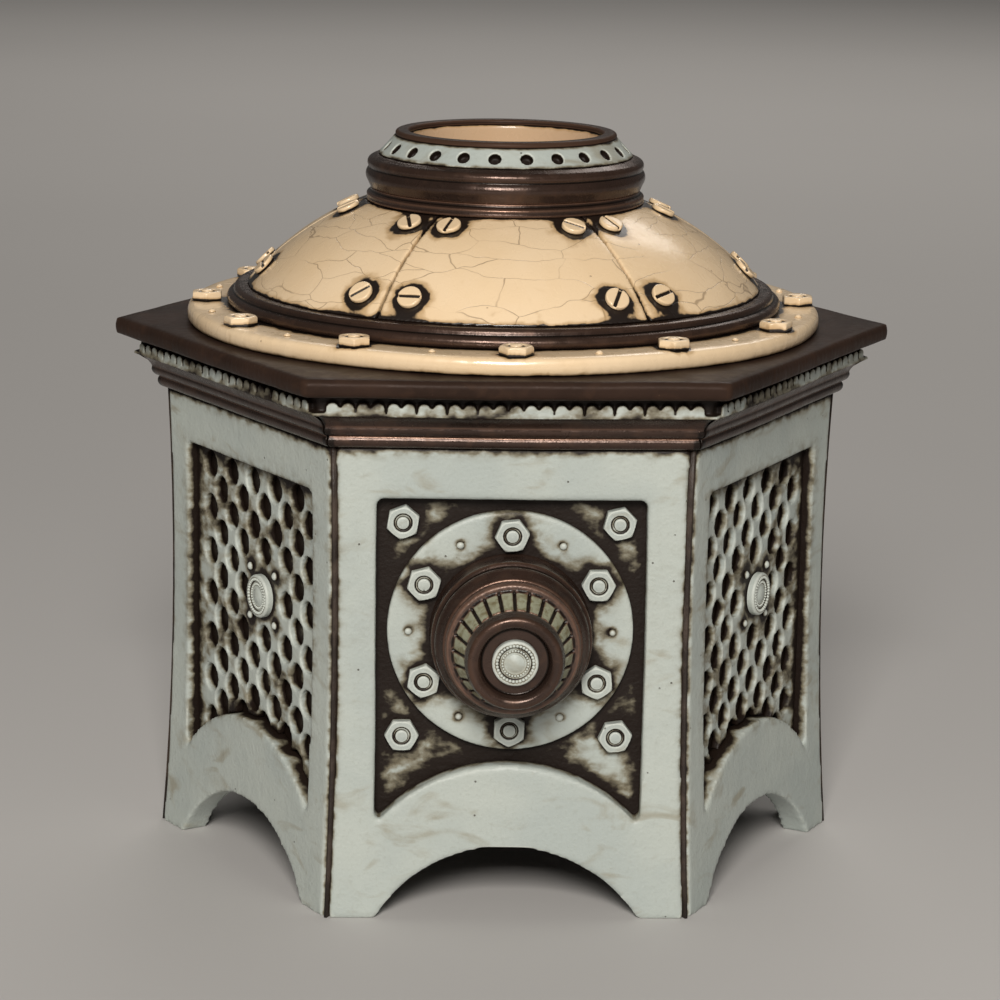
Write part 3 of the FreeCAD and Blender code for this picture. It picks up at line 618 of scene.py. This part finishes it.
def cream_glaze(name="glaze_cream", crackled=False, shade=1.0):
    """Glossy cream glaze, warmer and darker where it meets other pieces: stained by the dark glaze, with
    painted shade in the corners and creases.
    """
    g = Graph(name, "cream_glaze")
    edge, pool_and_shade = g.stored("edge"), g.stored("pool_and_shade")
    broad, cloud, fine = g.noise(50, 3), g.noise(8, 6, wobble=0.5), g.noise(1.2, 4)
    pits = g.specks(5.5, 0.12)
    colour = g.mix(g.step(broad, 0.35, 0.68), PALE_CREAM, DEEPER_CREAM)
    colour = g.mix(g.times(g.step(cloud, 0.60, 0.84), 0.3), colour, CREAM_CLOUD)
    colour = g.mix(g.times(pits, 0.6), colour, BROWN_PIT)
    height = g.add(g.times(fine, 0.25), g.times(g.noise(9, 3), 0.7), g.times(pits, -0.5))
    if crackled:
        lines = crackle(g)
        colour = g.mix(g.times(lines, 0.6), colour, CRACK_BROWN)
        height = g.add(height, g.times(lines, -0.5))
    colour = g.mix(1 - shade, colour, SHADED_CREAM)
    # Amber, then black-brown, where dark glaze pools, with painted shade in corners and creases, and at
    # random.
    dark = g.add(pool_and_shade, g.step(edge, -0.03, -0.18, 0, 0.7), g.times(g.add(cloud, -0.5), 0.7))
    colour = g.mix(g.times(g.step(dark, 0.12, 0.34), 0.6), colour, AMBER_STAIN_AND_SHADE)
    core = g.step(dark, 0.34, 0.46)
    colour = g.mix(core, colour, BLACK_BROWN)
    g.shader.inputs["Coat Weight"].default_value = 0.35
    g.shader.inputs["Coat Roughness"].default_value = 0.12
    roughness = g.add(g.step(cloud, 0.3, 0.8, 0.24, 0.36), g.times(core, 0.12))
    return g.finish(colour, roughness, height, 0.16)


def dark_glaze():
    """Matt black-brown glaze inside and under the vessel."""
    g = Graph("glaze_dark", "dark_glaze")
    cloud, fine = g.noise(12, 6, wobble=0.5), g.noise(1.4, 4)
    colour = g.mix(g.step(cloud, 0.4, 0.72), DARK_BROWN, RUST_BROWN)
    roughness = g.step(cloud, 0.3, 0.8, 0.42, 0.62)
    return g.finish(colour, roughness, g.add(fine, g.noise(6, 3)), 0.25)


def skirt_glaze():
    """The bronze and the pale glaze of the fluted skirt: pale on its ribs only."""
    g = Graph("glaze_skirt", "bronze_glaze")
    edge = g.stored("edge")
    cloud, fine = g.noise(3.2, 5, wobble=0.5), g.noise(0.8, 4)
    bronze = g.mix(g.step(cloud, 0.4, 0.7), FLUTE_BRONZE, WARM_FLUTE)
    bronze = g.mix(g.times(g.step(edge, 0.06, 0.25), 0.7), bronze, COPPER_FLUTE)
    pale = g.mix(g.step(cloud, 0.42, 0.72), PALE_RIB, STAINED_RIB)
    rib = g.times(g.stored("rib"), g.step(edge, -0.06, 0.02))
    colour = g.mix(rib, bronze, pale)
    # Painted shade: black-brown in the creases between the flutes.
    colour = g.mix(g.step(edge, -0.04, -0.16), colour, BLACK_BROWN)
    g.shader.inputs["Metallic"].default_value = 0.25
    return g.finish(colour, g.step(cloud, 0.3, 0.8, 0.3, 0.45), g.add(fine, cloud), 0.14)


BLUE = blue_glaze()
STAINED = blue_glaze("glaze_blue_stained", stain=0.26, worn=0.45)
BRONZE = bronze_glaze()
DECK = bronze_glaze("glaze_bronze_dull", metallic=0.06, sheen=0.05, rough=0.12, shade=0.5)
CREAM = cream_glaze()
CRACKLED = cream_glaze("glaze_cream_crackled", crackled=True)
MOUTH = cream_glaze("glaze_cream_mouth", shade=0.45)
DARK = dark_glaze()
SKIRT = skirt_glaze()


# ---------------------------------------------------------------- pieces

def walls():
    for side in SIDES:
        # Darker near the cornice, the corner seams, the window's floor and the screens: pooled dark glaze
        # at the joins, and painted shade inside the window.
        rules = [(["cornice_moulding"], 0.9, 1.6), (["corner_seams"], 0.75, 1.0),
                 (["inner_shell"], 0.8, 4.2)]
        if side in SCREEN_SIDES:
            rules.append(([f"pierced_screen_{side}"], 1.0, 2.2))
        clay(f"wall_{side}", [f"wall_frame_{side}"], 1.35, 3, BLUE, rules, ripple=0.08)


def recess_floors():
    """The inner shell, which shows as the floor of every window."""
    plates = [f"flange_plate_{side}" for side in KNOB_SIDES]
    screens = [f"pierced_screen_{side}" for side in SCREEN_SIDES]
    frames = [f"wall_frame_{side}" for side in SIDES]
    # Darker near the window's sides, the plates, nuts and screens: painted shade deep in the recess and
    # behind the screens, with pooled dark glaze.
    rules = [(plates, 1.0, 3.9), (frames, 0.95, 4.6), (["panel_nuts"], 0.6, 1.8), (screens, 1.1, 5.0)]
    clay("shell_and_recess_floors", ["inner_shell"], 2.3, 3, STAINED, rules, ripple=0.08)


def screens():
    for side in SCREEN_SIDES:
        # Darker near the window's edge, the shell behind and the rosettes: painted shade in the holes and
        # at the window's edge, with pooled dark glaze.
        rules = [([f"wall_frame_{side}"], 0.75, 3.0), (["inner_shell"], 0.9, 1.5),
                 (["screen_rosettes", "screen_studs"], 0.8, 2.2)]
        clay(f"screen_{side}", [f"pierced_screen_{side}"], 0.8, 3, STAINED, rules, ripple=0.06)
    plates = [f"pierced_screen_{side}" for side in SCREEN_SIDES]
    clay("rosette_studs", ["screen_studs"], 0.4, 2, BLUE, [(plates, 0.8, 0.5)])


def flange_plates():
    for side in KNOB_SIDES:
        # Darker round the nuts, collar and rivets, where dark glaze pools, and painted shade where the
        # plate meets the shell.
        rules = [(["panel_nuts"], 0.72, 3.2), ([f"knob_collar_{side}"], 0.75, 2.8),
                 (["inner_shell"], 0.9, 1.6), (["flange_rivets"], 0.5, 0.9)]
        clay(f"flange_{side}", [f"flange_plate_{side}"], 0.85, 3, BLUE, rules, ripple=0.06)


def panel_fasteners():
    seats = [f"flange_plate_{side}" for side in KNOB_SIDES] + ["inner_shell"]
    clay("nuts_on_panels", ["panel_nuts"], 0.4, 1, BLUE, [(seats, 0.9, 0.9), (["panel_bolts"], 1.1, 0.45)])
    clay("bolts_on_panels", ["panel_bolts"], 0.4, 2, BLUE, [(["panel_nuts"], 1.1, 0.3)])
    clay("rivets_on_flanges", ["flange_rivets"], 0.35, 2, BLUE, [(seats, 0.9, 0.6)])


def bead_ring(radius, count, bead, height, axes):
    """Small half-sunk beads round an axis."""
    work = bmesh.new()
    for k in range(count):
        angle = 2 * math.pi * k / count
        at = Matrix.Translation((radius * math.cos(angle), radius * math.sin(angle), height))
        bmesh.ops.create_icosphere(work, subdivisions=2, radius=bead, matrix=at)
    mesh = bpy.data.meshes.new("beads")
    work.to_mesh(mesh)
    work.free()
    mesh.transform(axes)
    return mesh


def button_axes(node, side):
    """Axes through the middle of a round button on a panel, its radius, and the heights of its
    seat and its top."""
    panel_middle = 0.05                     # metres to each side, where only this button lies
    axes = panel_axes(side)
    places = [axes.inverted() @ v.co for v in frame["nodes"][node].data.vertices]
    here = np.array([p for p in places if abs(p.x) < panel_middle and p.z > 0])
    low, high = here.min(0), here.max(0)
    middle = (low + high) / 2
    radius = (high[0] - low[0]) / 2
    return axes @ Matrix.Translation((middle[0], middle[1], 0)), radius, low[2], high[2]


def beaded_buttons(name, node, sides):
    """Round buttons with a domed eye inside two rings of beads."""
    outer_ring, outer_count, outer_bead, outer_rise = 0.79, 34, 0.68, 0.84
    inner_ring, inner_count, inner_bead, inner_rise = 0.56, 28, 0.50, 0.74
    buttons, beads = [], []
    for side in sides:
        axes, radius, seat, top = button_axes(node, side)
        buttons.append(turned_mesh(node, axes, step=0.3, passes=1, columns=120, reach=2 * radius))
        height = top - seat
        beads.append(bead_ring(radius * outer_ring, outer_count, outer_bead * MM,
                               seat + height * outer_rise, axes))
        beads.append(bead_ring(radius * inner_ring, inner_count, inner_bead * MM,
                               seat + height * inner_rise, axes))
    strung = merged(beads)
    piece(name, merged(buttons), [node], BLUE, [(strung, 0.55, 0.35)])
    piece(name + "_beads", strung, [node], BLUE)


def rosettes():
    beaded_buttons("rosettes_on_screens", "screen_rosettes", SCREEN_SIDES)


def knobs():
    rib_depth = 0.45                        # mm below the outline, on the ribs' outer faces
    ribs_start, ribs_end = 0.33, 0.96       # shares of the skirt's depth
    for side in KNOB_SIDES:
        axes = panel_axes(side)
        collar, skirt, grip = (f"knob_{part}_{side}" for part in ("collar", "skirt", "grip"))
        button = f"knob_button_{side}"
        piece(f"collar_{side}", turned_mesh(collar, axes, columns=220), [collar], BRONZE,
              [([f"flange_plate_{side}"], 0.8, 1.6), ([skirt], 0.6, 0.8)])
        fluted = clay(f"fluted_skirt_{side}", [skirt], 0.5, 1, SKIRT, [([grip], 0.7, 1.2)],
                      wander=0, ripple=0)
        depth, share = depth_below_outline(fluted.data, axes)
        store(fluted.data, "rib", (depth < rib_depth) & (share > ribs_start) & (share < ribs_end))
        piece(f"grip_{side}", turned_mesh(grip, axes, columns=200), [grip], BRONZE,
              [([skirt], 0.8, 0.8), ([button], 0.35, 1.0)])
        beaded_buttons(f"button_{side}", button, [side])


def mouldings():
    cornice = [mitred_mesh("cornice_moulding", side, 0.4, 0.5, 2) for side in SIDES]
    mesh = merged(cornice)
    made_by_hand(mesh, WANDER, RIPPLE)
    piece("cornice", mesh, ["cornice_moulding"], BRONZE, [(["dentil_strips"], 0.7, 1.2)])
    dentils()
    clay("deck", ["deck_plate"], 1.7, 3, DECK, [(["lid_flange"], 0.5, 2.0)], ripple=0.12)
    piece("seams_at_corners", joined_mesh(["corner_seams"]), ["corner_seams"], DARK)


def dentils():
    """The rows of teeth: pale in front, dark between and behind the teeth."""
    strip_depth = 7 * MM                    # kept behind the teeth's front
    past_corner = 0.6                       # a little more than the slope of a mitre
    face_depth, hollow_depth = 0.5, 1.4     # mm behind the front where the dark begins and deepens
    node_mesh = frame["nodes"]["dentil_strips"].data
    front = -min(v.co.y for v in node_mesh.vertices)
    strips = []
    for side in SIDES:
        angle = math.radians(SIDES[side])
        work = bmesh.new()
        work.from_mesh(node_mesh)
        bmesh.ops.transform(work, matrix=Matrix.Rotation(-angle, 4, "Z"), verts=work.verts)
        elsewhere = [v for v in work.verts if abs(v.co.x) > -v.co.y * past_corner]
        bmesh.ops.delete(work, geom=elsewhere, context="VERTS")
        bmesh.ops.remove_doubles(work, verts=work.verts, dist=1e-6)
        everything = work.verts[:] + work.edges[:] + work.faces[:]
        bmesh.ops.bisect_plane(work, geom=everything, plane_co=(0, strip_depth - front, 0),
                               plane_no=(0, 1, 0), clear_outer=True)
        bmesh.ops.holes_fill(work, edges=work.edges)
        bmesh.ops.transform(work, matrix=Matrix.Rotation(angle, 4, "Z"), verts=work.verts)
        strip = bpy.data.meshes.new("strip")
        work.to_mesh(strip)
        work.free()
        strips.append(strip)
    mesh = softened(merged(strips), 0.65, 1)
    out = [(math.sin(math.radians(a)), -math.cos(math.radians(a))) for a in SIDES.values()]
    behind = (front - (points_of(mesh)[:, :2] @ np.array(out).T).max(1)) / MM
    made_by_hand(mesh, WANDER, RIPPLE)
    # Darker under the deck and against the cornice: painted shade under the deck's overhang, with dark
    # glaze.
    made = piece("rows_of_teeth", mesh, ["dentil_strips"], STAINED,
                 [(["deck_plate"], 1.0, 2.2), (["cornice_moulding"], 0.7, 1.2)])
    # Painted shade behind the front of the teeth, with dark glaze there too.
    store(made.data, "hollow_shade", np.clip((behind - face_depth) / hollow_depth, 0, 1))


def roof_lay(mesh):
    """Stores how far round and how far down the roof each point lies, for the crackle."""
    middle_radius = 0.09                    # of the roof, in metres
    slant = 1.23                            # length down the roof for each unit of radius
    points = points_of(mesh)
    radius = np.hypot(points[:, 0], points[:, 1])
    round_roof = np.arctan2(points[:, 0], -points[:, 1]) * middle_radius
    down_roof = radius * slant
    lay = np.c_[round_roof, down_roof, np.zeros(len(points))].astype(np.float32)
    mesh.attributes.new("lay", "FLOAT_VECTOR", "POINT").data.foreach_set("vector", lay.ravel())


def roof():
    segments = [f"roof_segment_{k}" for k in range(1, len(SIDES) + 1)]
    for name in segments:
        others = [other for other in segments if other != name]
        # Darker round the screws and rings and along the seams: dark glaze there, and painted shade in the
        # seams.
        rules = [(["roof_screws"], 1.0, 3.2), (["neck_ring", "lid_base_ring"], 0.85, 1.4),
                 (others, 1.8, 0.55), (["roof_liner"], 0.5, 0.8)]
        made = clay(f"roof_{name[-1]}", [name], 0.9, 2, CRACKLED, rules, ripple=0.04)
        roof_lay(made.data)
    clay("screws_on_roof", ["roof_screws"], 0.38, 1, CREAM, [(segments, 0.75, 0.6)])


def lid():
    clay("flange_of_lid", ["lid_flange"], 1.4, 4, CREAM,
         [(["lid_nuts"], 0.62, 1.8), (["lid_base_ring"], 0.8, 2.6), (["deck_plate"], 0.8, 1.0)])
    piece("base_ring_of_lid", turned_mesh("lid_base_ring", step=0.6, columns=360), ["lid_base_ring"],
          BRONZE, [(["lid_flange"], 0.6, 1.0)])
    clay("nuts_on_lid", ["lid_nuts"], 0.4, 2, CREAM,
         [(["lid_flange"], 0.9, 1.2), (["lid_studs"], 1.2, 0.6)])
    clay("studs_on_lid", ["lid_studs"], 0.4, 2, CREAM, [(["lid_nuts"], 1.1, 0.3)])
    clay("rivets_on_lid", ["lid_rivets"], 0.35, 2, CREAM, [(["lid_flange"], 0.5, 0.4)])
    for name, node in (("neck", "neck_ring"), ("collar_beads", "collar_bead")):
        piece(name, turned_mesh(node, passes=2), [node], BRONZE)
    hole_depth = 0.7                        # mm inside the band, where its holes begin
    band = clay("band_of_collar", ["collar_band"], 0.6, 2, BLUE,
                [(["collar_bead"], 0.9, 0.9), (["rim_ring"], 0.9, 0.9)], wander=0)
    depth = depth_below_outline(band.data)[0]
    # Painted shade inside the holes of the band.
    store(band.data, "hollow_shade", np.clip(depth - hole_depth, 0, 1))
    piece("rim", turned_mesh("rim_ring", step=0.3, passes=2), ["rim_ring"], DECK)
    piece("liner_of_mouth", turned_mesh("mouth_liner", step=0.8), ["mouth_liner"], MOUTH,
          [(["rim_ring"], 0.7, 1.0)])


def plain_nodes():
    """Hidden CAD pieces keep their meshes and get the dark glaze."""
    hidden = ["floor_plate", "roof_liner", "locating_ring"]
    hidden += [f"knob_{part}_{side}" for part in ("spindle", "retainer") for side in KNOB_SIDES]
    for node in hidden:
        frame["nodes"][node].material_slots[0].material = DARK


# ---------------------------------------------------------------- stage

def stage():
    bpy.ops.mesh.primitive_plane_add(size=30, location=(0, 0, 0))
    floor = bpy.context.object
    floor.name = "studio_floor"
    g = Graph("studio_floor")
    tone = g.mix(g.noise(900, 2), FLOOR_GREY, FLOOR_PALER)
    floor.data.materials.append(g.finish(tone, 0.7, g.noise(3, 2), 0.02))


def area_light(name, place, aim, size, watts):
    data = bpy.data.lights.new(name, "AREA")
    data.shape = "RECTANGLE"
    data.size, data.size_y = size
    data.energy = watts
    data.color = (1.0, 0.95, 0.89)
    lamp = bpy.data.objects.new(name, data)
    lamp.location = place
    lamp.rotation_euler = (Vector(aim) - Vector(place)).to_track_quat("-Z", "Y").to_euler()
    bpy.context.scene.collection.objects.link(lamp)


def lights():
    middle = (0, 0, 0.17)
    area_light("key_box", (-0.2, -2.45, 1.55), middle, (0.8, 0.8), 71)
    area_light("back_box", (0.6, 3.4, 2.8), (0, 2.6, 0), (3.0, 1.6), 45)
    world = bpy.data.worlds.new("studio")
    world.use_nodes = True
    background = world.node_tree.nodes["Background"]
    background.inputs["Color"].default_value = (1.0, 0.97, 0.93, 1)
    background.inputs["Strength"].default_value = 0.08
    bpy.context.scene.world = world
    bpy.context.scene.view_settings.view_transform = "Standard"


def camera():
    """A long lens a little above the lid, turned slightly left of the front wall."""
    data = bpy.data.cameras.new("camera")
    data.sensor_width = 36
    data.lens = 118.1
    data.clip_start = 0.05
    view = bpy.data.objects.new("camera", data)
    turn, tilt, roll = -0.042, 0.223, 0.017
    distance, height = 1.444, 0.4785
    ahead = Vector((-math.sin(turn) * math.cos(tilt), math.cos(turn) * math.cos(tilt), -math.sin(tilt)))
    view.location = (math.sin(turn) * distance, -math.cos(turn) * distance, height)
    aim = ahead.to_track_quat("-Z", "Y").to_matrix() @ Matrix.Rotation(roll, 3, "Z")
    view.rotation_euler = aim.to_euler()
    bpy.context.scene.collection.objects.link(view)
    bpy.context.scene.camera = view


camera()
walls()
recess_floors()
screens()
flange_plates()
panel_fasteners()
rosettes()
knobs()
mouldings()
roof()
lid()
plain_nodes()
stage()
lights()
